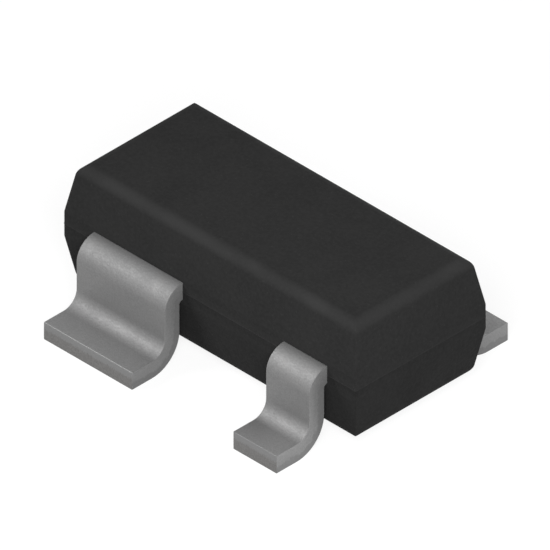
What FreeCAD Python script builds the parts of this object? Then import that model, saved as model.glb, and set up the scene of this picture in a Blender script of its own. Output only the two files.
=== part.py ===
import FreeCAD, Part
import math
import os

from FreeCAD import Vector

# A small surface-mount radio-frequency transistor, a dual-gate MOS type, in a four-lead moulded package.
# Frame: millimetres, +Z up, origin on the board plane under the middle of the package.
# X runs along the package and Y across it. The wide source lead is at the front left, at -X and -Y.

# Moulded package
body_length = 2.9
body_width = 1.3
band_height = 0.2
cap_height = 0.4
stand_off = 0.1
draft_angle = 10.0
edge_radius = 0.1

# Formed lead frame
lead_thickness = 0.15
narrow_lead_width = 0.43
wide_lead_width = 0.88
narrow_lead_pitch = 1.9
wide_lead_offset = 0.71
shoulder_radius = 0.025
heel_radius = 0.125
foot_length = 0.2

# Stamped inner lead frame, seen from above
paddle_margin_x = 0.2
paddle_margin_y = 0.13
paddle_shift_x = -0.11
paddle_shift_y = -0.06
root_length = 0.34
post_gap = 0.12
post_depth = 0.28
post_inset = 0.23
post_overhang = 0.04
frame_corner_radius = 0.04
largest_corner_share = 0.9

# Transistor die and the adhesive that holds it
die_length = 0.42
die_width = 0.42
die_thickness = 0.15
bond_line = 0.015
adhesive_climb = 0.045
adhesive_spread = 0.035
adhesive_rim = 0.006

# Metal pattern on the die
metal_thickness = 0.003
pad_size = 0.09
pad_margin = 0.03
finger_width = 0.008
gate_width = 0.003
metal_gap = 0.003
bus_width = 0.012
finger_pairs = 5
source_pad_length = 0.22

# Bond wires. The ball's shares are of its radius, the loop's of the wire's span, the landing's of the wire's
# radius, and the two source wires stand apart by a share of the wide lead's width.
wire_diameter = 0.025
ball_diameter = 0.07
ball_height = 0.018
ball_foot_share = 0.76
ball_shoulder_share = 0.7
neck_height = 0.014
loop_height = 0.12
loop_flat_share = 0.3
crown_radius = 0.04
shoulder_bend_radius = 0.12
landing_bend_radius = 0.05
landing_length = 0.04
landing_share = 0.8
source_wire_share = 1 / 3
stitch_length = 0.06
stitch_width = 0.045
stitch_thickness = 0.012
stitch_edge = 0.004
stitch_inset = 0.09

# Heights that the sizes above give
band_low = stand_off + cap_height
band_high = band_low + band_height
lead_plane = (band_low + band_high) / 2
frame_top = lead_plane + lead_thickness / 2
frame_bottom = lead_plane - lead_thickness / 2
die_bottom = frame_top + bond_line
die_top = die_bottom + die_thickness
metal_top = die_top + metal_thickness

# Places in plan that the sizes above give
half_length = body_length / 2
half_width = body_width / 2
narrow_lead_x = narrow_lead_pitch / 2
wide_lead_left = -wide_lead_offset - wide_lead_width / 2
wide_lead_right = -wide_lead_offset + wide_lead_width / 2
paddle_left = paddle_shift_x - die_length / 2 - paddle_margin_x
paddle_right = paddle_shift_x + die_length / 2 + paddle_margin_x
paddle_front = paddle_shift_y - die_width / 2 - paddle_margin_y
paddle_back = paddle_shift_y + die_width / 2 + paddle_margin_y

# Places on the die, measured from its middle
pad_outer_x = die_length / 2 - pad_margin
pad_outer_y = die_width / 2 - pad_margin
pad_inner_x = pad_outer_x - pad_size
pad_inner_y = pad_outer_y - pad_size
channel_gap = 3 * metal_gap + 2 * gate_width
source_bus_top = -pad_inner_y + bus_width
drain_bus_top = pad_inner_y - 2 * metal_gap - gate_width
drain_bus_bottom = drain_bus_top - bus_width
source_tip = drain_bus_bottom - channel_gap
drain_tip = source_bus_top + channel_gap
finger_step = 2 * (finger_width + channel_gap)
comb_left = -finger_pairs * finger_step / 2


def closed_face(edges):
    """A flat face inside edges that follow one another."""
    return Part.Face(Part.Wire(edges))


def polygon_face(points):
    """A flat face inside straight edges through the points."""
    return Part.Face(Part.makePolygon(list(points) + [points[0]]))


def slab(x0, x1, y0, y1, z0, z1):
    """A block between two corners."""
    return Part.makeBox(x1 - x0, y1 - y0, z1 - z0, Vector(x0, y0, z0))


def one_solid(shape):
    """The shape's own solid, with faces that lie in one surface joined."""
    cleaned = shape.removeSplitter()
    return cleaned.Solids[0] if len(cleaned.Solids) == 1 else cleaned


def joined(shapes):
    """Several touching shapes as one solid."""
    return one_solid(shapes[0].multiFuse(shapes[1:]))


def section_corner(half, up, out):
    """One quarter of the moulding's section: the band's edge, then the start, middle and end of the arc.

    Each place is (distance from the middle, height). Going away from the band, the side leans in by the
    draft and turns into the flat through the edge radius.
    """
    draft = math.radians(draft_angle)
    side_rise = cap_height - edge_radius * (1 - math.sin(draft))
    side_lean = side_rise * math.tan(draft)
    band_edge = lead_plane + up * band_height / 2
    centre_r = half - side_lean - edge_radius * math.cos(draft)
    centre_z = band_edge + up * (cap_height - edge_radius)
    arc_mid = (math.radians(90) + draft) / 2
    arc_mid_r = centre_r + edge_radius * math.cos(arc_mid)
    arc_mid_z = centre_z + up * edge_radius * math.sin(arc_mid)
    arc_start = (out * (half - side_lean), band_edge + up * side_rise)
    arc_end = (out * centre_r, centre_z + up * edge_radius)
    return (out * half, band_edge), arc_start, (out * arc_mid_r, arc_mid_z), arc_end


def section_prism(half, along_x, depth):
    """The moulding's section run straight through, along X or along Y."""

    def place(point):
        return Vector(-depth, point[0], point[1]) if along_x else Vector(point[0], -depth, point[1])

    corners = [section_corner(half, up, out) for up, out in ((-1, 1), (1, 1), (1, -1), (-1, -1))]
    edges = []
    for number, (band_edge, arc_start, arc_mid, arc_end) in enumerate(corners):
        next_band_edge, _, _, next_arc_end = corners[(number + 1) % len(corners)]
        across_band = number % 2 == 0
        run_start, run_end = (band_edge, next_band_edge) if across_band else (arc_end, next_arc_end)
        edges.append(Part.makeLine(place(band_edge), place(arc_start)))
        edges.append(Part.Arc(place(arc_start), place(arc_mid), place(arc_end)).toShape())
        edges.append(Part.makeLine(place(run_start), place(run_end)))
    run = Vector(2 * depth, 0, 0) if along_x else Vector(0, 2 * depth, 0)
    return closed_face(Part.__sortEdges__(edges)).extrude(run)


def moulded_block():
    """The whole outer form of the moulding, where the two prisms meet in mitred corners."""
    along_x = section_prism(half_width, True, body_length)
    along_y = section_prism(half_length, False, body_width)
    return along_x.common(along_y)


def formed_section(x):
    """The gull-wing section of a lead in the plane at x, from the moulding out to the toe, on the -Y side."""
    bend_y = -half_width
    bend_z = frame_bottom - shoulder_radius
    inner_face = bend_y - shoulder_radius
    outer_face = inner_face - lead_thickness
    heel_y = outer_face - heel_radius
    heel_z = heel_radius + lead_thickness
    toe = heel_y - foot_length

    shoulder = (bend_y, bend_z)
    heel = (heel_y, heel_z)

    def run(start, end):
        """A straight edge between two places given as (y, z)."""
        return Part.makeLine(Vector(x, *start), Vector(x, *end))

    def turn(start, end, centre):
        """A quarter turn from start to end round a centre, each given as (y, z)."""
        pivot = Vector(x, *centre)
        first = Vector(x, *start) - pivot
        last = Vector(x, *end) - pivot
        middle = (first + last).normalize() * first.Length
        return Part.Arc(pivot + first, pivot + middle, pivot + last).toShape()

    return closed_face([
        turn((bend_y, frame_top), (outer_face, bend_z), shoulder),
        run((outer_face, bend_z), (outer_face, heel_z)),
        turn((outer_face, heel_z), (heel_y, lead_thickness), heel),
        run((heel_y, lead_thickness), (toe, lead_thickness)),
        run((toe, lead_thickness), (toe, 0)),
        run((toe, 0), (heel_y, 0)),
        turn((heel_y, 0), (inner_face, heel_z), heel),
        run((inner_face, heel_z), (inner_face, bend_z)),
        turn((inner_face, bend_z), (bend_y, frame_bottom), shoulder),
        run((bend_y, frame_bottom), (bend_y, frame_top)),
    ])


def formed_lead(x0, x1):
    """The bent outer part of a lead between two X places, on the -Y side."""
    return formed_section(x0).extrude(Vector(x1 - x0, 0, 0))


def stamped_plate(x0, x1, y0, y1):
    """A piece of the stamped frame with rounded corners, at the lead plane."""
    plate = slab(x0, x1, y0, y1, frame_bottom, frame_top)
    room = min(x1 - x0, y1 - y0) / 2
    radius = min(frame_corner_radius, largest_corner_share * room)
    upright = [edge for edge in plate.Edges if edge.BoundBox.ZLength > lead_thickness / 2]
    return plate.makeFillet(radius, upright)


def source_lead():
    """The wide lead, its root inside the moulding and the paddle that carries the die, as one stamping."""
    root_end = -half_width + root_length
    root = slab(wide_lead_left, wide_lead_right, -half_width, root_end, frame_bottom, frame_top)
    paddle = stamped_plate(paddle_left, paddle_right, paddle_front, paddle_back)
    return joined([formed_lead(wide_lead_left, wide_lead_right), root, paddle])


def narrow_lead(side):
    """A narrow lead with the bonding post at its inner end, on the side of the paddle that side gives.

    The post reaches towards the paddle. It also hooks past the stem on its other edge, which locks the
    lead in the moulding.
    """
    stem_left = side * narrow_lead_x - narrow_lead_width / 2
    stem_right = side * narrow_lead_x + narrow_lead_width / 2
    post_front = -half_width + post_inset
    post_back = post_front + post_depth
    if side > 0:
        post_left = paddle_right + post_gap
        post_right = stem_right + post_overhang
    else:
        post_left = stem_left - post_overhang
        post_right = paddle_left - post_gap
    stem = slab(stem_left, stem_right, -half_width, (post_front + post_back) / 2, frame_bottom, frame_top)
    post = stamped_plate(post_left, post_right, post_front, post_back)
    return joined([formed_lead(stem_left, stem_right), stem, post])


def turned_to_back(shape):
    """The same lead on the +Y side of the package."""
    return shape.mirror(Vector(0, 0, 0), Vector(0, 1, 0))


def transistor_die():
    """The silicon chip."""
    x0 = paddle_shift_x - die_length / 2
    y0 = paddle_shift_y - die_width / 2
    return slab(x0, x0 + die_length, y0, y0 + die_width, die_bottom, die_top)


def rectangle_wire(grow, z):
    """The die's outline grown by a margin, as a wire at one height."""
    x = die_length / 2 + grow
    y = die_width / 2 + grow
    corners = [(-x, -y), (x, -y), (x, y), (-x, y), (-x, -y)]
    return Part.makePolygon([Vector(paddle_shift_x + a, paddle_shift_y + b, z) for a, b in corners])


def die_attach():
    """The adhesive under the die, with the fillet that climbs its sides."""
    foot = rectangle_wire(adhesive_spread, frame_top)
    rim = rectangle_wire(adhesive_rim, die_bottom + adhesive_climb)
    mound = Part.makeLoft([foot, rim], True)
    return one_solid(mound.cut(transistor_die()))


def metal(x0, x1, y0, y1):
    """A patch of the die's metal. Its places are measured from the middle of the die."""
    return slab(
        paddle_shift_x + x0, paddle_shift_x + x1, paddle_shift_y + y0, paddle_shift_y + y1, die_top, metal_top
    )


def source_finger_x(number):
    """The middle of a source finger."""
    return comb_left + number * finger_step


def drain_finger_x(number):
    """The middle of a drain finger."""
    return comb_left + (number + 0.5) * finger_step


def source_metal():
    """The source pad, its bus and its fingers."""
    half = finger_width / 2
    bus_end = source_finger_x(finger_pairs) + half
    patches = [
        metal(-pad_outer_x, -pad_outer_x + source_pad_length, -pad_outer_y, -pad_inner_y),
        metal(-pad_outer_x, bus_end, -pad_inner_y, source_bus_top),
    ]
    for number in range(finger_pairs + 1):
        x = source_finger_x(number)
        patches.append(metal(x - half, x + half, source_bus_top, source_tip))
    return joined(patches)


def drain_metal():
    """The drain pad, the strip up to its bus and the fingers that reach down between the source's."""
    half = finger_width / 2
    patches = [
        metal(pad_inner_x, pad_outer_x, -pad_outer_y, -pad_inner_y - metal_gap),
        metal(pad_outer_x - bus_width, pad_outer_x, -pad_inner_y - metal_gap, drain_bus_top),
        metal(drain_finger_x(0) - half, pad_outer_x, drain_bus_bottom, drain_bus_top),
    ]
    for number in range(finger_pairs):
        x = drain_finger_x(number)
        patches.append(metal(x - half, x + half, drain_tip, drain_bus_bottom))
    return joined(patches)


def track(points):
    """A gate line of even width through points, each run straight along X or Y."""
    half = gate_width / 2
    runs = []
    for (xa, ya), (xb, yb) in zip(points, points[1:]):
        runs.append(metal(min(xa, xb) - half, max(xa, xb) + half, min(ya, yb) - half, max(ya, yb) + half))
    return joined(runs)


def gate_route(distance_from_source):
    """The winding route between the two combs, at one distance from the source metal, from right to left."""
    aside = finger_width / 2 + distance_from_source
    low = source_bus_top + distance_from_source
    high = source_tip + distance_from_source
    route = []
    for number in range(finger_pairs, -1, -1):
        x = source_finger_x(number)
        if number < finger_pairs:
            route += [(x + aside, low), (x + aside, high)]
        else:
            route += [(x, high)]
        if number > 0:
            route += [(x - aside, high), (x - aside, low)]
        else:
            route += [(x - aside, high)]
    return route


def gate_1_metal():
    """Gate 1 winds beside the source fingers and ends at the pad on the back left."""
    distance = metal_gap + gate_width / 2
    route = gate_route(distance)
    exit_x = -pad_outer_x + gate_width / 2
    route += [(exit_x, route[-1][1]), (exit_x, pad_inner_y)]
    pad = metal(-pad_outer_x, -pad_inner_x, pad_inner_y, pad_outer_y)
    return joined([track(route), pad])


def gate_2_metal():
    """Gate 2 winds beside the drain fingers, turns round the drain bus and ends at the back right pad."""
    distance = metal_gap + gate_width + metal_gap + gate_width / 2
    route = gate_route(distance)
    turn_x = drain_finger_x(0) - finger_width / 2 - metal_gap - gate_width / 2
    route = route[:-1] + [(turn_x, route[-1][1])]
    over = drain_bus_top + metal_gap + gate_width / 2
    landing_x = pad_inner_x + gate_width / 2
    route += [(turn_x, over), (landing_x, over), (landing_x, pad_inner_y)]
    pad = metal(pad_inner_x, pad_outer_x, pad_inner_y, pad_outer_y)
    return joined([track(route), pad])


def wire_ball(x, y):
    """The ball pressed on the pad and the neck that the wire rises from."""
    belly = ball_diameter / 2
    foot = ball_foot_share * belly
    shoulder = ball_shoulder_share * belly
    wire_radius = wire_diameter / 2
    side = Part.Arc(
        Vector(x + foot, y, metal_top),
        Vector(x + belly, y, metal_top + ball_height / 2),
        Vector(x + shoulder, y, metal_top + ball_height),
    )
    neck_top = metal_top + ball_height + neck_height
    outline = [
        side.toShape(),
        Part.makeLine(Vector(x + shoulder, y, metal_top + ball_height), Vector(x + wire_radius, y, neck_top)),
        Part.makeLine(Vector(x + wire_radius, y, neck_top), Vector(x, y, neck_top)),
        Part.makeLine(Vector(x, y, neck_top), Vector(x, y, metal_top)),
        Part.makeLine(Vector(x, y, metal_top), Vector(x + foot, y, metal_top)),
    ]
    return closed_face(outline).revolve(Vector(x, y, 0), Vector(0, 0, 1), 360)


def rounded_route(points, radii):
    """Straight runs through the points, with an arc of the given radius at each inner one."""
    edges = []
    start = points[0]
    for corner, following, radius in zip(points[1:], points[2:], radii):
        back = (start - corner).normalize()
        ahead = (following - corner).normalize()
        half_turn = back.getAngle(ahead) / 2
        reach = radius / math.tan(half_turn)
        first = corner + back * reach
        last = corner + ahead * reach
        middle_way = (back + ahead).normalize()
        middle = corner + middle_way * (radius / math.sin(half_turn) - radius)
        edges.append(Part.makeLine(start, first))
        edges.append(Part.Arc(first, middle, last).toShape())
        start = last
    edges.append(Part.makeLine(start, points[-1]))
    return Part.Wire(edges)


def bond_wire(pad_place, post_place):
    """A wire from its ball on the die to its stitch on the frame, in the upright plane through both."""
    radius = wire_diameter / 2
    start = Vector(pad_place[0], pad_place[1], 0)
    end = Vector(post_place[0], post_place[1], 0)
    span = (end - start).Length
    forward = (end - start).normalize()
    up = Vector(0, 0, 1)
    crown = die_top + loop_height
    rest_height = frame_top + landing_share * radius
    points = [
        start + up * (metal_top + ball_height),
        start + up * crown,
        start + forward * (span * loop_flat_share) + up * crown,
        start + forward * (span - landing_length) + up * rest_height,
        end + up * rest_height,
    ]
    route = rounded_route(points, [crown_radius, shoulder_bend_radius, landing_bend_radius])
    ring = Part.Wire(Part.makeCircle(radius, points[0], up))
    strand = route.makePipeShell([ring], True, False)
    return joined_on_post([wire_ball(start.x, start.y), strand, stitch(end, forward)])


def joined_on_post(shapes):
    """The wire's parts as one solid, cut flat where it is pressed on the frame."""
    whole = shapes[0].multiFuse(shapes[1:])
    under = slab(-half_length, half_length, -half_width, half_width, frame_bottom, frame_top)
    return one_solid(whole.cut(under))


def stitch(end, forward):
    """The flattened end of a wire: what a long wedge, thin at its tip, shares with a tall oval column."""
    across = Vector(-forward.y, forward.x, 0)
    up = Vector(0, 0, 1)
    base = Vector(end.x, end.y, frame_top)
    half = stitch_length / 2
    side_profile = [
        base - forward * half,
        base + forward * half,
        base + forward * half + up * stitch_edge,
        base + up * stitch_thickness,
        base - forward * half + up * (stitch_thickness + stitch_edge),
    ]
    lowered = [p - across * stitch_width for p in side_profile]
    wedge = polygon_face(lowered).extrude(across * (2 * stitch_width))
    oval = Part.Ellipse(base + forward * half, base + across * (stitch_width / 2), base)
    column = closed_face([oval.toShape()]).extrude(up * (2 * stitch_thickness))
    return wedge.common(column)


def bond_wires():
    """Each wire's ball and stitch places, from the pads and the posts that they join."""
    pad_mid_x = (pad_outer_x + pad_inner_x) / 2
    pad_mid_y = (pad_outer_y + pad_inner_y) / 2
    left_pads = paddle_shift_x - pad_mid_x
    right_pads = paddle_shift_x + pad_mid_x
    front_pads = paddle_shift_y - pad_mid_y
    back_pads = paddle_shift_y + pad_mid_y
    second_source_pad = left_pads + source_pad_length - pad_size
    post_middle = half_width - post_inset - post_depth / 2
    right_post = paddle_right + post_gap + stitch_inset
    left_post = paddle_left - post_gap - stitch_inset
    root_y = -half_width + root_length / 2
    near_root_x = wide_lead_right - stitch_inset
    far_root_x = near_root_x - wide_lead_width * source_wire_share
    return {
        "drain_wire": ((right_pads, front_pads), (right_post, -post_middle)),
        "gate_1_wire": ((left_pads, back_pads), (left_post, post_middle)),
        "gate_2_wire": ((right_pads, back_pads), (right_post, post_middle)),
        "source_wire_left": ((left_pads, front_pads), (far_root_x, root_y)),
        "source_wire_right": ((second_source_pad, front_pads), (near_root_x, root_y)),
    }


def build():
    """Every piece by name. The moulding is cast round all the others, so they are cut out of it."""
    pieces = {
        "source_lead": source_lead(),
        "drain_lead": narrow_lead(1),
        "gate_1_lead": turned_to_back(narrow_lead(-1)),
        "gate_2_lead": turned_to_back(narrow_lead(1)),
        "die_attach": die_attach(),
        "transistor_die": transistor_die(),
        "source_metal": source_metal(),
        "drain_metal": drain_metal(),
        "gate_1_metal": gate_1_metal(),
        "gate_2_metal": gate_2_metal(),
    }
    for name, (pad_place, post_place) in bond_wires().items():
        pieces[name] = bond_wire(pad_place, post_place)
    pieces["moulded_body"] = one_solid(moulded_block().cut(list(pieces.values())))
    return pieces


os.makedirs("parts", exist_ok=True)
for name, shape in build().items():
    shape.exportStep("parts/" + name + ".step")
    print(name, len(shape.Solids), shape.isValid(), round(shape.Volume, 6))
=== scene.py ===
import math
import random

import bmesh
import bpy
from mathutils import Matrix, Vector


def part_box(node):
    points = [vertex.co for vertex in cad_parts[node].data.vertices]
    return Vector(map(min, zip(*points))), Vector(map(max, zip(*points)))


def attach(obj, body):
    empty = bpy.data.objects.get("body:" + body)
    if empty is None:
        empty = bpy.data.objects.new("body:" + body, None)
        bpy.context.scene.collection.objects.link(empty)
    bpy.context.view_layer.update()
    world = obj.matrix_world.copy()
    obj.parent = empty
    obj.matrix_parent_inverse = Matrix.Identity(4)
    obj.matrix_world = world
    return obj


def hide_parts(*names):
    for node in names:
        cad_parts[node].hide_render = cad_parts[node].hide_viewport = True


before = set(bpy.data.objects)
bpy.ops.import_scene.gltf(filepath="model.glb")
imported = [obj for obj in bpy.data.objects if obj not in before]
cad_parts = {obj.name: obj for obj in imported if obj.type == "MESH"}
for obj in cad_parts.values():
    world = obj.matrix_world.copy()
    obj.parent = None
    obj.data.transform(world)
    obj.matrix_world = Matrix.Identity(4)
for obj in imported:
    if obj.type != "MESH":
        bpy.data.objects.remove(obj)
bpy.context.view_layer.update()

# The looks of a small four-lead surface-mount transistor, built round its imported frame.
# Metres, +Z up, origin on the board plane under the middle of the package.

mm = 0.001
um = 0.001 * mm

# Package moulding
band_height = 0.2 * mm
draft = math.radians(10)
edge_radius = 0.1 * mm
edge_turns = 12
upright_radius = 10 * um
upright_turns = 3
band_softening = 6 * um
seam = 3 * um
pocket_depth = 0.2 * mm

# Hair line round the band, where the two halves of the mould met
parting_width = 10 * um
parting_proud = 2 * um
parting_wear = 0.6

# Torn patch on the left end, where the gate of the mould was broken off
scar_width = 0.3 * mm
scar_height = 0.11 * mm
scar_proud = 12 * um
scar_waver = 4 * um
scar_cuts = 7
scar_seed = 7

# Formed leads
lead_thickness = 0.15 * mm
narrow_lead_width = 0.43 * mm
wide_lead_width = 0.88 * mm
narrow_lead_pitch = 1.9 * mm
wide_lead_offset = 0.71 * mm
shoulder_radius = 0.025 * mm
heel_radius = 0.125 * mm
bend_turns = 16
stamped_edge = 7 * um
stamped_edge_turns = 3

# Stamped frame inside the moulding, seen from above
frame_corner_radius = 0.04 * mm
frame_corner_turns = 5
root_length = 0.34 * mm
post_inset = 0.23 * mm
post_depth = 0.28 * mm
paddle_left = -0.52 * mm
paddle_front = -0.4 * mm

# Places that the frame gives
body_low, body_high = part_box("moulded_body")
source_low, source_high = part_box("source_lead")
half_length = body_high.x
half_width = body_high.y
lead_plane = (body_low.z + body_high.z) / 2
cap_height = (body_high.z - body_low.z - band_height) / 2
frame_bottom = lead_plane - lead_thickness / 2
frame_top = lead_plane + lead_thickness / 2
toe = source_low.y

# Material slots
main_slot = 0
scar_slot = 1
toe_slot = 1
side_slot = 2

# Limits for points that count as one, for a cut that takes in a point, and for an edge that counts as sharp
least_gap = 0.1 * um
cut_tolerance = least_gap / 10
crisp_angle = math.radians(35)

# How much of a face's normal lies along X on a lead's stamped sides, and along Y on its toe, which takes in
# its own rounded edges
side_facing = 0.9
toe_facing = 0.6

# Each lead's left edge, right edge and side of the package
wide_left = -wide_lead_offset - wide_lead_width / 2
wide_right = -wide_lead_offset + wide_lead_width / 2
narrow_near = (narrow_lead_pitch - narrow_lead_width) / 2
narrow_far = (narrow_lead_pitch + narrow_lead_width) / 2
lead_places = {
    "source_lead": (wide_left, wide_right, -1),
    "drain_lead": (narrow_near, narrow_far, -1),
    "gate_1_lead": (-narrow_far, -narrow_near, 1),
    "gate_2_lead": (narrow_near, narrow_far, 1),
}


# Steps that more than one piece uses

def drawn_out(bm, faces, step):
    """Extrudes faces along a straight run. The old faces go, so that the shape stays one closed skin."""
    made = bmesh.ops.extrude_face_region(bm, geom=faces)["geom"]
    bmesh.ops.delete(bm, geom=faces, context="FACES_ONLY")
    bmesh.ops.translate(bm, vec=step, verts=[item for item in made if isinstance(item, bmesh.types.BMVert)])
    return [item for item in made if isinstance(item, bmesh.types.BMFace)]


def sliced(bm, faces, place, normal):
    """Cuts some of the faces along a plane, and leaves the rest of the shape as it is."""
    edges = {e for f in faces for e in f.edges}
    verts = {v for f in faces for v in f.verts}
    bmesh.ops.bisect_plane(
        bm, geom=[*verts, *edges, *faces], dist=cut_tolerance, plane_co=place, plane_no=normal
    )


def softened(bm, edges, width, segments):
    """Rounds edges."""
    bmesh.ops.bevel(
        bm, geom=edges, offset=width, offset_type="OFFSET", segments=segments,
        profile=0.5, affect="EDGES", material=-1, clamp_overlap=True,
    )


def finished(bm, name, node, materials):
    """The shape as a piece that rides on the part's one body and stands for its node."""
    bmesh.ops.remove_doubles(bm, verts=bm.verts, dist=least_gap)
    bmesh.ops.recalc_face_normals(bm, faces=bm.faces)
    for face in bm.faces:
        face.smooth = True
    for edge in bm.edges:
        edge.smooth = edge.calc_face_angle(0) < crisp_angle
    mesh = bpy.data.meshes.new(name)
    bm.to_mesh(mesh)
    bm.free()
    for material in materials:
        mesh.materials.append(material)
    piece = bpy.data.objects.new(name, mesh)
    bpy.context.scene.collection.objects.link(piece)
    piece.modifiers.new("even_flats", "WEIGHTED_NORMAL").keep_sharp = True
    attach(piece, "root")
    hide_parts(node)


# Package moulding

def cap_profile():
    """The rings of the moulding's side, from the band up the draft and round the edge.

    Each ring is an inset from the wall, a height above the band and how much it is lightened: on the round
    this is partly rubbing and partly a painted highlight.
    """
    side_rise = cap_height - edge_radius * (1 - math.sin(draft))
    centre_inset = side_rise * math.tan(draft) + edge_radius * math.cos(draft)
    yield band_softening * math.tan(draft / 2), band_softening, 0.0
    yield side_rise * math.tan(draft), side_rise, 0.0
    for turn in range(1, edge_turns + 1):
        share = turn / edge_turns
        angle = draft + (math.pi / 2 - draft) * share
        rise = edge_radius * (1 - math.sin(angle))
        # On the round the value peaks at its middle: partly rubbing, partly a painted highlight
        yield centre_inset - edge_radius * math.cos(angle), cap_height - rise, math.sin(math.pi * share)


def raise_cap(bm, up, wear_and_highlight_layer):
    """Grows one half of the moulding from the band, ring by ring, so that its corners stay mitred."""
    face = max(bm.faces, key=lambda f: up * f.calc_center_median().z)
    inset, height = 0.0, 0.0
    for next_inset, next_height, wear_and_highlight in cap_profile():
        face = drawn_out(bm, [face], (0, 0, up * (next_height - height)))[0]
        shrink_x = (half_length - next_inset) / (half_length - inset)
        shrink_y = (half_width - next_inset) / (half_width - inset)
        bmesh.ops.scale(bm, vec=(shrink_x, shrink_y, 1), verts=face.verts)
        for vert in face.verts:
            vert[wear_and_highlight_layer] = wear_and_highlight
        inset, height = next_inset, next_height


def on_wall(bm, axis, wall):
    """The faces that lie in one upright wall of the band, square to X (axis 0) or Y (axis 1)."""
    return [f for f in bm.faces if all(abs(v.co[axis] - wall) < least_gap for v in f.verts)]


def framed_patch(bm, axis, wall, low, high):
    """Cuts a rectangle free in a wall of the band and gives its faces. Low and high are (along, height)."""
    along = Vector((1, 0, 0)) if axis else Vector((0, 1, 0))
    up = Vector((0, 0, 1))
    for place, normal in ((low[0], along), (high[0], along), (low[1], up), (high[1], up)):
        sliced(bm, on_wall(bm, axis, wall), normal * place, normal)
    patch = []
    for face in on_wall(bm, axis, wall):
        middle = face.calc_center_median()
        if low[0] < middle[1 - axis] < high[0] and low[1] < middle.z < high[1]:
            patch.append(face)
    return patch


def open_pocket(bm, left, right, side):
    """Opens the band where a lead comes out, with a fine seam all round the lead."""
    low = (left - seam, frame_bottom - seam)
    high = (right + seam, frame_top + seam)
    mouth = framed_patch(bm, 1, side * half_width, low, high)
    drawn_out(bm, mouth, (0, -side * pocket_depth, 0))


def raise_parting_line(bm, wear_and_highlight_layer):
    """Raises the hair line round the band and marks it as worn."""
    near_corner = upright_radius + least_gap
    nearly_upright = math.sin(draft / 2)

    def in_skin(vert):
        """Whether a point lies on the band's outer walls or in one of their rounded corners."""
        to_end = half_length - abs(vert.co.x)
        to_side = half_width - abs(vert.co.y)
        return min(to_end, to_side) < least_gap or max(to_end, to_side) < near_corner

    for offset in (-parting_width / 2, 0, parting_width / 2):
        walls = []
        for face in bm.faces:
            if abs(face.normal.z) < nearly_upright and all(in_skin(v) for v in face.verts):
                walls.append(face)
        sliced(bm, walls, Vector((0, 0, lead_plane + offset)), Vector((0, 0, 1)))
    ridge = [v for v in bm.verts if abs(v.co.z - lead_plane) < least_gap and in_skin(v)]
    for vert in ridge:
        vert[wear_and_highlight_layer] = parting_wear
    bmesh.ops.scale(
        bm, vec=(1 + parting_proud / half_length, 1 + parting_proud / half_width, 1), verts=ridge
    )


def break_gate(bm):
    """The torn patch: its points stand out unevenly and its border wavers."""
    low = (-scar_width / 2, lead_plane - scar_height / 2)
    high = (scar_width / 2, lead_plane + scar_height / 2)
    patch = framed_patch(bm, 0, -half_length, low, high)
    for face in patch:
        face.material_index = scar_slot
    edges = list({e for f in patch for e in f.edges})
    bmesh.ops.subdivide_edges(bm, edges=edges, cuts=scar_cuts, use_grid_fill=True)
    chance = random.Random(scar_seed)
    for vert in bm.verts:
        broken = [face.material_index == scar_slot for face in vert.link_faces]
        if all(broken):
            vert.co.x -= scar_proud * chance.random()
        elif any(broken):
            vert.co.y += scar_waver * chance.uniform(-1, 1)
            vert.co.z += scar_waver * chance.uniform(-1, 1)


def package_moulding(materials):
    """The moulded package: a straight band at the lead plane and two drafted caps with rounded edges."""
    bm = bmesh.new()
    bmesh.ops.create_cube(bm, size=1.0)
    bmesh.ops.scale(bm, vec=(2 * half_length, 2 * half_width, band_height), verts=bm.verts)
    bmesh.ops.translate(bm, vec=(0, 0, lead_plane), verts=bm.verts)
    upright = [e for e in bm.edges if e.verts[0].co.xy == e.verts[1].co.xy]
    softened(bm, upright, upright_radius, upright_turns)
    # This layer holds rubbing plus a painted highlight on the rounds, and rubbing on the parting line
    wear_and_highlight_layer = bm.verts.layers.float.new("wear_and_highlight")
    raise_cap(bm, 1, wear_and_highlight_layer)
    raise_cap(bm, -1, wear_and_highlight_layer)
    for left, right, side in lead_places.values():
        open_pocket(bm, left, right, side)
    break_gate(bm)
    bm.normal_update()
    raise_parting_line(bm, wear_and_highlight_layer)
    finished(bm, "package_moulding", "moulded_body", materials)


# Formed leads

def stamped_blank(outline, round_corners):
    """A flat stamping from its outline in plan, with some corners rounded.

    Each point knows how far through the strip it is, from 0 at the underside to 1 at the top.
    """
    bm = bmesh.new()
    verts = [bm.verts.new((x, y, frame_bottom)) for x, y in outline]
    bm.faces.new(verts)
    bmesh.ops.bevel(
        bm, geom=[verts[number] for number in round_corners], offset=frame_corner_radius,
        offset_type="OFFSET", segments=frame_corner_turns, profile=0.5, affect="VERTICES", material=-1,
    )
    through = bm.verts.layers.float.new("through")
    top = bmesh.ops.extrude_face_region(bm, geom=list(bm.faces))["geom"]
    for vert in [item for item in top if isinstance(item, bmesh.types.BMVert)]:
        vert.co.z += lead_thickness
        vert[through] = 1.0
    bmesh.ops.recalc_face_normals(bm, faces=bm.faces)
    return bm


def bent(bm, face, y, z, angle):
    """Swings the end face of a lead round a bend whose axis runs along X."""
    made = bmesh.ops.spin(
        bm, geom=[face], cent=(0, y, z), axis=(1, 0, 0), angle=angle, steps=bend_turns,
        use_merge=False, use_duplicate=False,
    )
    bmesh.ops.delete(bm, geom=[face], context="FACES_ONLY")
    return [item for item in made["geom_last"] if isinstance(item, bmesh.types.BMFace)][0]


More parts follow.
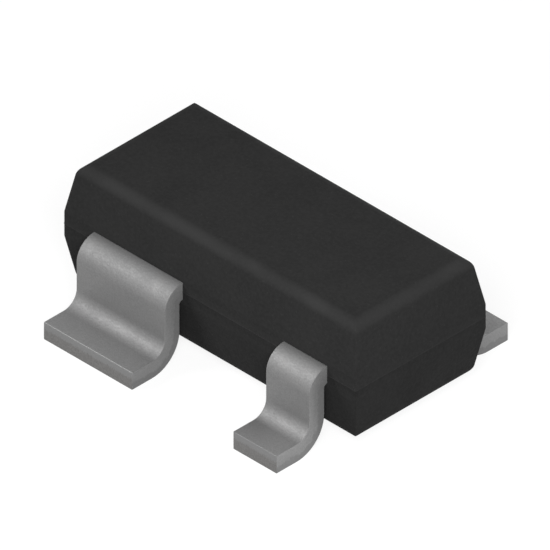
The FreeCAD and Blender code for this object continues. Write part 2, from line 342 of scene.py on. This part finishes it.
def form_gull_wing(bm):
    """Forms the lead outside the moulding: over the shoulder, down, round the heel and out to the toe."""
    face = min(bm.faces, key=lambda f: f.calc_center_median().y)
    shoulder_z = frame_bottom - shoulder_radius
    heel_y = -half_width - shoulder_radius - lead_thickness - heel_radius
    heel_z = heel_radius + lead_thickness
    face = bent(bm, face, -half_width, shoulder_z, math.pi / 2)
    face = drawn_out(bm, [face], (0, 0, heel_z - shoulder_z))[0]
    face = bent(bm, face, heel_y, heel_z, -math.pi / 2)
    drawn_out(bm, [face], (0, toe - heel_y, 0))


def give_finishes(bm):
    """Tells the stamped sides and the sheared toe from the rolled faces.

    It comes after the edges are softened, because a new face between two finishes may take either.
    """
    bm.normal_update()
    for face in bm.faces:
        at_toe = face.calc_center_median().y < toe + stamped_edge
        if abs(face.normal.x) > side_facing:
            face.material_index = side_slot
        elif at_toe and abs(face.normal.y) > toe_facing:
            face.material_index = toe_slot
        else:
            face.material_index = main_slot


def formed_lead(node, outline, round_corners, materials):
    """A whole lead from its stamped blank, with softened edges, on its own side of the package."""
    bm = stamped_blank(outline, round_corners)
    form_gull_wing(bm)
    bm.normal_update()
    crisp = [e for e in bm.edges if e.calc_face_angle(0) > crisp_angle]
    softened(bm, crisp, stamped_edge, stamped_edge_turns)
    give_finishes(bm)
    if lead_places[node][2] > 0:
        bmesh.ops.scale(bm, vec=(1, -1, 1), verts=bm.verts)
    finished(bm, node + "_formed", node, materials)


def source_outline():
    """The wide root and the paddle that carries the die: one outline in plan, and its rounded corners."""
    left, right, _ = lead_places["source_lead"]
    root_end = -half_width + root_length
    outline = [
        (left, -half_width), (right, -half_width), (right, paddle_front), (source_high.x, paddle_front),
        (source_high.x, source_high.y), (paddle_left, source_high.y), (paddle_left, root_end),
        (left, root_end),
    ]
    return outline, (3, 4, 5)


def narrow_outline(node):
    """The stem and the bonding post of a narrow lead, in the same form. All outlines lie on the -Y side."""
    left, right, _ = lead_places[node]
    low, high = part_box(node)
    front = -half_width + post_inset
    back = front + post_depth
    outline = [
        (left, -half_width), (right, -half_width), (right, front), (high.x, front),
        (high.x, back), (low.x, back), (low.x, front), (left, front),
    ]
    return outline, (3, 4, 5, 6)


# Shader nodes

def put(tree, kind, inputs=None, **settings):
    """A shader node with its settings. Each input is a number, a colour or another node's output."""
    made = tree.nodes.new("ShaderNode" + kind)
    for name, value in settings.items():
        setattr(made, name, value)
    for name, value in (inputs or {}).items():
        if isinstance(value, bpy.types.NodeSocket):
            tree.links.new(value, made.inputs[name])
        else:
            made.inputs[name].default_value = value
    return made


def worked_out(tree, operation, first, second):
    """One step of arithmetic between two values."""
    return put(tree, "Math", {0: first, 1: second}, operation=operation).outputs[0]


def between(tree, value, low, high, to_low=0.0, to_high=1.0):
    """Stretches a value from one range to another, with soft ends. The first range may run downwards."""
    inputs = {"Value": value, "From Min": low, "From Max": high, "To Min": to_low, "To Max": to_high}
    return put(tree, "MapRange", inputs, interpolation_type="SMOOTHSTEP").outputs["Result"]


def graded(tree, mask, start, end, full=1.0):
    """A value that runs from start to end as a mask goes from 0 to full."""
    return between(tree, mask, low=0.0, high=full, to_low=start, to_high=end)


def mixed(tree, mask, first, second):
    """Two colours mixed by a mask."""
    return put(tree, "Mix", {0: mask, 6: first, 7: second}, data_type="RGBA").outputs[2]


def layered(tree, base, colour, mask, share):
    """A colour laid over the base where a mask is, as strongly as its share."""
    return mixed(tree, worked_out(tree, "MULTIPLY", mask, share), base, colour)


def grey(level, warmth=0.0):
    """A near-neutral colour."""
    return (level * (1 + warmth), level, level * (1 - warmth), 1)


def on_object(tree):
    """The point of the surface in the part's own frame."""
    return put(tree, "TexCoord").outputs["Object"]


def new_group(name, inputs, outputs):
    """An empty node group with named number sockets, as the tree with its inputs and outputs."""
    tree = bpy.data.node_groups.new(name, "ShaderNodeTree")
    for label, value in inputs.items():
        socket = tree.interface.new_socket(name=label, in_out="INPUT", socket_type="NodeSocketFloat")
        socket.default_value = value
    for label in outputs:
        tree.interface.new_socket(name=label, in_out="OUTPUT", socket_type="NodeSocketFloat")
    return tree, tree.nodes.new("NodeGroupInput").outputs, tree.nodes.new("NodeGroupOutput").inputs


def placed(tree, group, **inputs):
    """A node group placed in a material, with its own values."""
    made = tree.nodes.new("ShaderNodeGroup")
    made.node_tree = group
    for name, value in inputs.items():
        made.inputs[name].default_value = value
    return made.outputs


def grain_group():
    """Fine even grain: a cloudy shade and a height with small rounded pits. Cell is the size of one grain."""
    tree, given, out = new_group("grain", {"Cell": 30 * um}, ["Shade", "Height"])
    place = on_object(tree)
    scale = worked_out(tree, "DIVIDE", 1.0, given["Cell"])
    cloud = put(tree, "TexNoise", {"Vector": place, "Scale": scale, "Detail": 3.0, "Roughness": 0.6})
    pits = put(tree, "TexVoronoi", {"Vector": place, "Scale": scale}, feature="SMOOTH_F1")
    tree.links.new(between(tree, cloud.outputs["Fac"], low=0.3, high=0.7), out["Shade"])
    tree.links.new(worked_out(tree, "ADD", cloud.outputs["Fac"], pits.outputs["Distance"]), out["Height"])
    return tree


def crystal_group():
    """Small flat crystals that each catch the light a little differently. Cell is the size of one crystal."""
    tree, given, out = new_group("crystals", {"Cell": 12 * um}, ["Shade", "Height"])
    scale = worked_out(tree, "DIVIDE", 1.0, given["Cell"])
    cells = put(tree, "TexVoronoi", {"Vector": on_object(tree), "Scale": scale, "Randomness": 1.0})
    shade = put(tree, "SeparateColor", {"Color": cells.outputs["Color"]}).outputs["Red"]
    tree.links.new(shade, out["Shade"])
    tree.links.new(worked_out(tree, "ADD", shade, cells.outputs["Distance"]), out["Height"])
    return tree


def lines_group():
    """Fine lines side by side along X, as a forming tool or a shear leaves them."""
    tree, given, out = new_group("tool_lines", {"Spacing": 8 * um, "Length": 250 * um}, ["Shade"])
    across = worked_out(tree, "DIVIDE", 1.0, given["Spacing"])
    along = worked_out(tree, "DIVIDE", 1.0, given["Length"])
    stretch = put(tree, "CombineXYZ", {"X": across, "Y": along, "Z": along}).outputs[0]
    place = put(tree, "Mapping", {"Vector": on_object(tree), "Scale": stretch}).outputs[0]
    lines = put(tree, "TexNoise", {"Vector": place, "Scale": 1.0, "Detail": 2.0, "Roughness": 0.7})
    tree.links.new(between(tree, lines.outputs["Fac"], low=0.3, high=0.7), out["Shade"])
    return tree


def edge_group():
    """1 along the edges and 0 on the flats, uneven as handling leaves it. Reach is how wide the edges are."""
    tree, given, out = new_group("edges", {"Reach": 15 * um, "Patch": 150 * um}, ["Mask"])
    rounded = put(tree, "Bevel", {"Radius": given["Reach"]}, samples=6).outputs[0]
    flat = put(tree, "NewGeometry").outputs["Normal"]
    alike = put(tree, "VectorMath", {0: rounded, 1: flat}, operation="DOT_PRODUCT").outputs["Value"]
    edge = between(tree, alike, low=0.995, high=0.9)
    scale = worked_out(tree, "DIVIDE", 1.0, given["Patch"])
    patchy = put(tree, "TexNoise", {"Vector": on_object(tree), "Scale": scale, "Detail": 2.0}).outputs["Fac"]
    uneven = between(tree, patchy, low=0.2, high=0.6, to_low=0.55, to_high=1.0)
    tree.links.new(worked_out(tree, "MULTIPLY", edge, uneven), out["Mask"])
    return tree


def handling_group():
    """Broad soft patches where fingers and trays have polished or dulled the surface."""
    tree, given, out = new_group("handling", {"Patch": 0.4 * mm}, ["Mask"])
    scale = worked_out(tree, "DIVIDE", 1.0, given["Patch"])
    place = on_object(tree)
    cloud = put(tree, "TexNoise", {"Vector": place, "Scale": scale, "Detail": 4.0, "Distortion": 0.6})
    tree.links.new(between(tree, cloud.outputs["Fac"], low=0.35, high=0.65), out["Mask"])
    return tree


grain = grain_group()
crystals = crystal_group()
tool_lines = lines_group()
edge_zone = edge_group()
handling = handling_group()


# Materials

def new_material(name, settings):
    """A material with its node tree and surface shader. Settings are the shader's plain values."""
    material = bpy.data.materials.new(name)
    material.use_nodes = True
    shader = material.node_tree.nodes["Principled BSDF"]
    for socket, value in settings.items():
        shader.inputs[socket].default_value = value
    return material, material.node_tree, shader


def surfaced(tree, shader, colour, roughness, height, depth, strength=1.0):
    """Gives the shader its colour, roughness and bumps. Depth is how deep the bumps are at a height of 1."""
    bump = put(tree, "Bump", {"Height": height, "Distance": depth, "Strength": strength})
    tree.links.new(colour, shader.inputs["Base Color"])
    tree.links.new(roughness, shader.inputs["Roughness"])
    tree.links.new(bump.outputs[0], shader.inputs["Normal"])


def cut_zone(tree, ragged, waver, start, full):
    """A mask that begins and fills at two depths through the strip, with a ragged border between."""
    through = put(tree, "Attribute", attribute_name="through").outputs["Fac"]
    wavy = worked_out(tree, "ADD", through, worked_out(tree, "MULTIPLY", ragged, waver))
    return between(tree, wavy, low=start, high=full)


def moulding_compound():
    """Black filled epoxy: matte, with the mould's fine grain, pale flecks of filler, and rounds lightened
    partly by rubbing and partly by a painted highlight along their middles.
    """
    dark_resin, pale_resin, handled_resin = grey(0.0206), grey(0.0246), grey(0.028, 0.01)
    # The colour laid on the rounds is partly rubbed resin and partly a painted highlight
    rubbed_and_highlit_resin, bare_filler, worn_edge = grey(0.0335), grey(0.055), grey(0.05)
    filler_spacing = 48 * um

    material, tree, shader = new_material("black_epoxy", {"Specular IOR Level": 0.04})
    fine = placed(tree, grain, Cell=26 * um)
    edges = placed(tree, edge_zone, Reach=14 * um, Patch=0.25 * mm)["Mask"]
    patches = placed(tree, handling, Patch=0.55 * mm)["Mask"]
    filler = put(tree, "TexVoronoi", {"Vector": on_object(tree), "Scale": 1 / filler_spacing})
    flecks = between(tree, filler.outputs["Distance"], low=0.16, high=0.08)
    # Rounds made lighter, most along their middles: partly rubbing, partly a painted highlight
    rounds = put(tree, "Attribute", attribute_name="wear_and_highlight").outputs["Fac"]
    rubbed_and_highlit = worked_out(tree, "MULTIPLY", rounds, graded(tree, patches, 0.6, 1.0))
    base = mixed(tree, fine["Shade"], dark_resin, pale_resin)
    base = layered(tree, base, handled_resin, patches, share=0.25)
    base = layered(tree, base, bare_filler, flecks, share=0.2)
    base = mixed(tree, rubbed_and_highlit, base, rubbed_and_highlit_resin)
    base = layered(tree, base, worn_edge, edges, share=0.3)
    rough = graded(tree, worked_out(tree, "ADD", fine["Shade"], patches), 0.84, 0.74, full=2.0)
    surfaced(tree, shader, base, rough, fine["Height"], depth=2.4 * um, strength=0.8)
    return material


def broken_compound():
    """The same epoxy where the gate broke off: rougher, and paler with bare filler."""
    material, tree, shader = new_material("broken_epoxy", {"Specular IOR Level": 0.05})
    fine = placed(tree, grain, Cell=9 * um)
    base = mixed(tree, fine["Shade"], grey(0.035), grey(0.085))
    surfaced(tree, shader, base, graded(tree, fine["Shade"], 0.95, 0.8), fine["Height"], depth=4 * um)
    return material


def tin_plating():
    """Matte tin over a lead's rolled faces: fine crystals, lines from the forming tool and duller edges."""
    dark_crystal, bright_crystal = grey(0.18), grey(0.205)
    drawn_tin, polished_tin, dull_tin = grey(0.17), grey(0.22, 0.01), grey(0.09)
    line_height = 0.6

    material, tree, shader = new_material("matte_tin", {"Metallic": 0.7})
    fine = placed(tree, crystals, Cell=11 * um)
    drawn = placed(tree, tool_lines, Spacing=9 * um, Length=0.3 * mm)["Shade"]
    edges = placed(tree, edge_zone, Reach=9 * um, Patch=0.1 * mm)["Mask"]
    patches = placed(tree, handling, Patch=0.3 * mm)["Mask"]
    base = mixed(tree, fine["Shade"], dark_crystal, bright_crystal)
    base = layered(tree, base, drawn_tin, drawn, share=0.3)
    base = layered(tree, base, polished_tin, patches, share=0.25)
    base = layered(tree, base, dull_tin, edges, share=0.55)
    rough = graded(tree, worked_out(tree, "ADD", fine["Shade"], patches), 0.66, 0.56, full=2.0)
    height = worked_out(tree, "ADD", worked_out(tree, "MULTIPLY", drawn, line_height), fine["Height"])
    surfaced(tree, shader, base, rough, height, depth=0.8 * um, strength=0.6)
    return material


def sheared_tin():
    """The cut end of a lead: burnished at the top, where the shear entered, over a rougher torn zone."""
    dark_tear, pale_tear = grey(0.15, 0.02), grey(0.19, 0.02)
    burnished_tin, dull_tin = grey(0.2), grey(0.09)
    burnish_height = 1.5

    material, tree, shader = new_material("sheared_tin", {"Metallic": 0.7})
    cut = placed(tree, tool_lines, Spacing=6 * um, Length=0.2 * mm)["Shade"]
    fine = placed(tree, grain, Cell=14 * um)
    edges = placed(tree, edge_zone, Reach=9 * um, Patch=0.1 * mm)["Mask"]
    burnished = cut_zone(tree, cut, waver=0.12, start=0.62, full=0.74)
    torn = mixed(tree, fine["Shade"], dark_tear, pale_tear)
    base = mixed(tree, burnished, torn, burnished_tin)
    base = layered(tree, base, dull_tin, edges, share=0.5)
    height = worked_out(tree, "ADD", cut, worked_out(tree, "MULTIPLY", burnished, burnish_height))
    surfaced(tree, shader, base, graded(tree, burnished, 0.68, 0.5), height, depth=1.0 * um, strength=0.6)
    return material


def stamped_tin():
    """Matte tin over a lead's stamped sides: duller than the rolled faces, and rougher where they tore."""
    dark_crystal, bright_crystal = grey(0.22), grey(0.25)
    torn_tin, dull_tin = grey(0.18), grey(0.1)

    material, tree, shader = new_material("stamped_tin", {"Metallic": 0.5})
    fine = placed(tree, crystals, Cell=11 * um)
    ragged = placed(tree, grain, Cell=45 * um)["Shade"]
    edges = placed(tree, edge_zone, Reach=9 * um, Patch=0.1 * mm)["Mask"]
    torn = cut_zone(tree, ragged, waver=0.15, start=0.52, full=0.4)
    base = mixed(tree, fine["Shade"], dark_crystal, bright_crystal)
    base = layered(tree, base, torn_tin, torn, share=0.5)
    base = layered(tree, base, dull_tin, edges, share=0.4)
    height = worked_out(tree, "SUBTRACT", fine["Height"], torn)
    surfaced(tree, shader, base, graded(tree, torn, 0.68, 0.8), height, depth=0.8 * um, strength=0.6)
    return material


def silver_adhesive():
    """Cured die adhesive: a grey resin full of silver flakes."""
    resin, silver = grey(0.24, 0.01), grey(0.5, 0.01)

    material, tree, shader = new_material("silver_flake_resin", {})
    flakes = placed(tree, crystals, Cell=7 * um)
    base = mixed(tree, flakes["Shade"], resin, silver)
    surfaced(tree, shader, base, graded(tree, flakes["Shade"], 0.6, 0.35), flakes["Height"], depth=1.5 * um)
    tree.links.new(between(tree, flakes["Shade"], low=0.3, high=0.9), shader.inputs["Metallic"])
    return material


def sawn_silicon():
    """Polished blue-grey silicon with the saw's fine marks."""
    dark_silicon, pale_silicon = (0.05, 0.055, 0.07, 1), (0.08, 0.085, 0.1, 1)

    material, tree, shader = new_material("sawn_silicon", {"Metallic": 0.6})
    sawn = placed(tree, tool_lines, Spacing=4 * um, Length=60 * um)["Shade"]
    base = mixed(tree, sawn, dark_silicon, pale_silicon)
    surfaced(tree, shader, base, graded(tree, sawn, 0.18, 0.34), sawn, depth=0.2 * um)
    return material


def die_metal():
    """Sputtered aluminium on the die, with its fine grain."""
    dark_grain, bright_grain = grey(0.62), grey(0.78)

    material, tree, shader = new_material("sputtered_aluminium", {"Metallic": 1.0})
    fine = placed(tree, crystals, Cell=2.5 * um)
    base = mixed(tree, fine["Shade"], dark_grain, bright_grain)
    surfaced(tree, shader, base, graded(tree, fine["Shade"], 0.22, 0.4), fine["Height"], depth=0.1 * um)
    return material


def gold_wire():
    """Drawn gold wire with faint lines from its die."""
    dark_gold, bright_gold = (0.78, 0.5, 0.16, 1), (0.9, 0.62, 0.24, 1)

    material, tree, shader = new_material("drawn_gold", {"Metallic": 1.0})
    drawn = placed(tree, tool_lines, Spacing=2 * um, Length=80 * um)["Shade"]
    base = mixed(tree, drawn, dark_gold, bright_gold)
    surfaced(tree, shader, base, graded(tree, drawn, 0.2, 0.34), drawn, depth=0.1 * um)
    return material


# The inner pieces that keep their solids, by a word in their nodes' names
inner_finishes = {
    "die_attach": silver_adhesive(),
    "transistor_die": sawn_silicon(),
    "_metal": die_metal(),
    "_wire": gold_wire(),
}


def finish_inner_pieces():
    """Gives each solid that stays as it is its own finish."""
    for node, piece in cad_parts.items():
        for word, material in inner_finishes.items():
            if word in node:
                piece.material_slots[0].material = material


# Stage. The photograph's side is in pixels and its scale in pixels to a metre, and its middle is view_centre.

toward_camera = Vector((1, -1, 1)).normalized()
view_height = 0.5532 * mm
view_centre = Vector((0, 0, view_height))
photo_scale = 142.35 / mm
photo_side = 550
lamp_distance = 20 * mm
lamp_size = 8 * mm
floor_size = 0.5
floor_drop = um

# Each lamp's direction from the part, and how bright it makes a white surface that faces it
lamps = {
    "key": ((1, -1, 1), 1.05),
    "left_box": ((-1, -1, 1), 0.55),
    "right_box": ((1, 0.6, 0.4), 0.4),
    "back_fill": ((-0.2, 1, 0.15), 0.3),
}


def lamp(name, direction, level):
    """A square soft lamp that faces the part."""
    data = bpy.data.lights.new(name, "AREA")
    data.shape = "SQUARE"
    data.size = lamp_size
    data.energy = level * (math.pi * lamp_distance) ** 2
    light = bpy.data.objects.new(name, data)
    place = Vector(direction).normalized()
    light.location = view_centre + place * lamp_distance
    light.rotation_mode = "QUATERNION"
    light.rotation_quaternion = place.to_track_quat("Z", "Y")
    bpy.context.scene.collection.objects.link(light)


def seen_directly(tree):
    """1 for camera, glossy and transmission rays, and 0 for the rays that light the part."""
    path = put(tree, "LightPath").outputs
    mirrored = worked_out(tree, "MAXIMUM", path["Is Camera Ray"], path["Is Glossy Ray"])
    return worked_out(tree, "MAXIMUM", mirrored, path["Is Transmission Ray"])


def studio_world(ambient):
    """A white surround that lights the part only a little."""
    world = bpy.data.worlds.new("studio")
    world.use_nodes = True
    tree = world.node_tree
    tree.nodes.clear()
    strength = graded(tree, seen_directly(tree), ambient, 1.0)
    surround = put(tree, "Background", {"Color": (1, 1, 1, 1), "Strength": strength})
    out = put(tree, "OutputWorld")
    tree.links.new(surround.outputs[0], out.inputs["Surface"])
    bpy.context.scene.world = world


def pale_floor(shade, lift):
    """A white floor that keeps the part's shadow. Shade is its own colour, and lift is its glow."""
    plain = {"Base Color": grey(shade), "Roughness": 1.0, "Specular IOR Level": 0.0}
    material, tree, shader = new_material("pale_floor", plain)
    glow = put(tree, "Emission", {"Strength": worked_out(tree, "MULTIPLY", seen_directly(tree), lift)})
    both = put(tree, "AddShader", {0: shader.outputs[0], 1: glow.outputs[0]})
    tree.links.new(both.outputs[0], tree.nodes["Material Output"].inputs["Surface"])
    bm = bmesh.new()
    bmesh.ops.create_grid(bm, x_segments=1, y_segments=1, size=floor_size)
    bmesh.ops.translate(bm, vec=(0, 0, -floor_drop), verts=bm.verts)
    mesh = bpy.data.meshes.new("floor")
    bm.to_mesh(mesh)
    bm.free()
    mesh.materials.append(material)
    floor = bpy.data.objects.new("floor", mesh)
    bpy.context.scene.collection.objects.link(floor)


def studio_camera():
    """A level camera with no perspective, at the photograph's isometric angle and scale."""
    data = bpy.data.cameras.new("camera")
    data.type = "ORTHO"
    data.ortho_scale = photo_side / photo_scale
    data.clip_start = 0.1 * mm
    data.clip_end = 1.0
    camera = bpy.data.objects.new("camera", data)
    camera.location = view_centre + toward_camera * lamp_distance
    camera.rotation_mode = "QUATERNION"
    camera.rotation_quaternion = (-toward_camera).to_track_quat("-Z", "Y")
    bpy.context.scene.collection.objects.link(camera)
    bpy.context.scene.camera = camera


studio_camera()
bpy.context.scene.view_settings.view_transform = "Standard"
studio_world(ambient=0.02)
pale_floor(shade=0.18, lift=0.86)
for name, (direction, level) in lamps.items():
    lamp(name, direction, level)

package_moulding([moulding_compound(), broken_compound()])
plated = [tin_plating(), sheared_tin(), stamped_tin()]
formed_lead("source_lead", *source_outline(), plated)
for node in ("drain_lead", "gate_1_lead", "gate_2_lead"):
    formed_lead(node, *narrow_outline(node), plated)
finish_inner_pieces()
